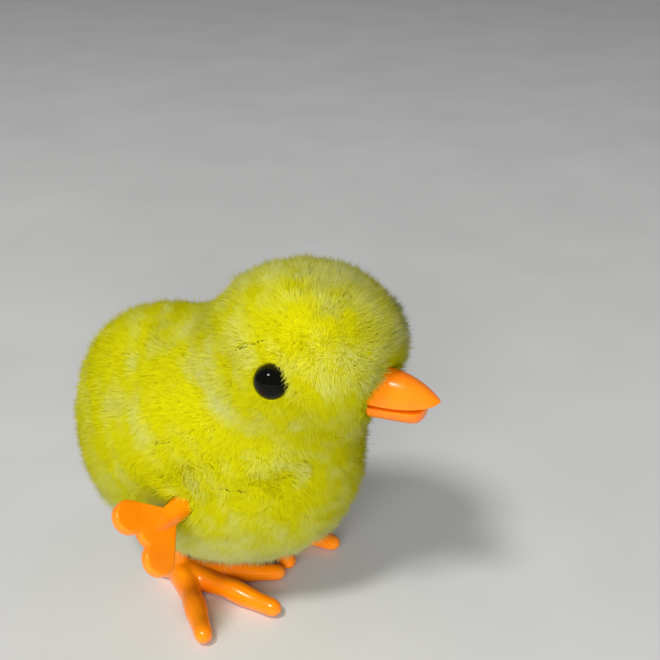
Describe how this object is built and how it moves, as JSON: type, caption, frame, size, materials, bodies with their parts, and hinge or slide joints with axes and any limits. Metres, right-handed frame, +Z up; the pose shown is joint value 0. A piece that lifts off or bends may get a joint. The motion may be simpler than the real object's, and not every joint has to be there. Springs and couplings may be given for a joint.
{
  "type": "wind-up hopping chick",
  "caption": "Wind-up plush chick that hops: furry body over a moulded shell, orange beak, toed feet and butterfly key, with a clockwork motor, cam and sprung legs inside.",
  "frame": {"origin": "middle of the bounding box, on the plane of the soles", "axes": "+X the way the beak points, +Y to the chick's left, +Z up; gear arbors and leg axle lie along Y"},
  "size_m": [0.0838, 0.067, 0.076],
  "materials": {
    "plush": "deep pile",
    "orange_plastic": "glossy moulding",
    "beak_plastic": "glossy moulding",
    "eye_plastic": "polished dome",
    "shell_plastic": "satin moulding",
    "motor_plastic": "satin moulding",
    "gear_plastic": "natural acetal",
    "brass": "stamped",
    "steel": "drawn wire and strip"
  },
  "bodies": {
    "chassis": {"plush_cover": "plush", "shell_right": "shell_plastic", "shell_left": "shell_plastic", "shell_screws": "steel", "base_plate": "shell_plastic", "base_screws": "steel", "beak": "beak_plastic", "beak_washer": "gear_plastic", "eye_right": "eye_plastic", "eye_left": "eye_plastic", "eye_washers": "gear_plastic", "motor_case_right": "motor_plastic", "motor_case_left": "motor_plastic", "case_screws": "steel", "spring_post": "steel", "mainspring": "steel", "kick_spring": "steel"},
    "great_wheel_set": {"great_wheel": "brass", "click": "brass", "click_rivet": "steel"},
    "winder": {"winding_key": "orange_plastic", "winding_arbor": "steel", "ratchet_wheel": "brass"},
    "second_wheel_set": {"second_arbor": "steel", "second_pinion": "gear_plastic", "second_wheel": "gear_plastic"},
    "cam_set": {"cam_arbor": "steel", "cam_pinion": "gear_plastic", "kick_cam": "gear_plastic"},
    "governor_set": {"governor_arbor": "steel", "governor_pinion": "gear_plastic", "governor_fan": "gear_plastic"},
    "legs": {"right_leg": "orange_plastic", "left_leg": "orange_plastic", "leg_axle": "steel", "axle_caps": "steel", "kick_lever": "gear_plastic"}
  },
  "joints": [
    {"name": "train_run", "type": "hinge", "parent": "chassis", "child": "great_wheel_set", "pos_m": [-0.00325, 0.00458, 0.0276], "axis": [0, 1, 0], "continuous": true},
    {"name": "key_wind", "type": "hinge", "parent": "great_wheel_set", "child": "winder", "pos_m": [-0.00325, 0.00458, 0.0276], "axis": [0, 1, 0], "continuous": true},
    {"name": "second_spin", "type": "hinge", "parent": "chassis", "child": "second_wheel_set", "pos_m": [-0.01412, 0.00458, 0.03051], "axis": [0, 1, 0], "continuous": true},
    {"name": "cam_spin", "type": "hinge", "parent": "chassis", "child": "cam_set", "pos_m": [-0.01114, 0.00458, 0.02097], "axis": [0, 1, 0], "continuous": true},
    {"name": "governor_spin", "type": "hinge", "parent": "chassis", "child": "governor_set", "pos_m": [-0.00915, 0.00458, 0.0389], "axis": [0, 1, 0], "continuous": true},
    {"name": "leg_kick", "type": "hinge", "parent": "chassis", "child": "legs", "pos_m": [-0.01815, 0.00458, 0.02], "axis": [0, 1, 0], "range_deg": [0, 14]}
  ],
  "couplings": [
    {"joint": "second_spin", "follows": "train_run", "ratio": -4},
    {"joint": "cam_spin", "follows": "train_run", "ratio": 12},
    {"joint": "governor_spin", "follows": "train_run", "ratio": 13.333}
  ]
}
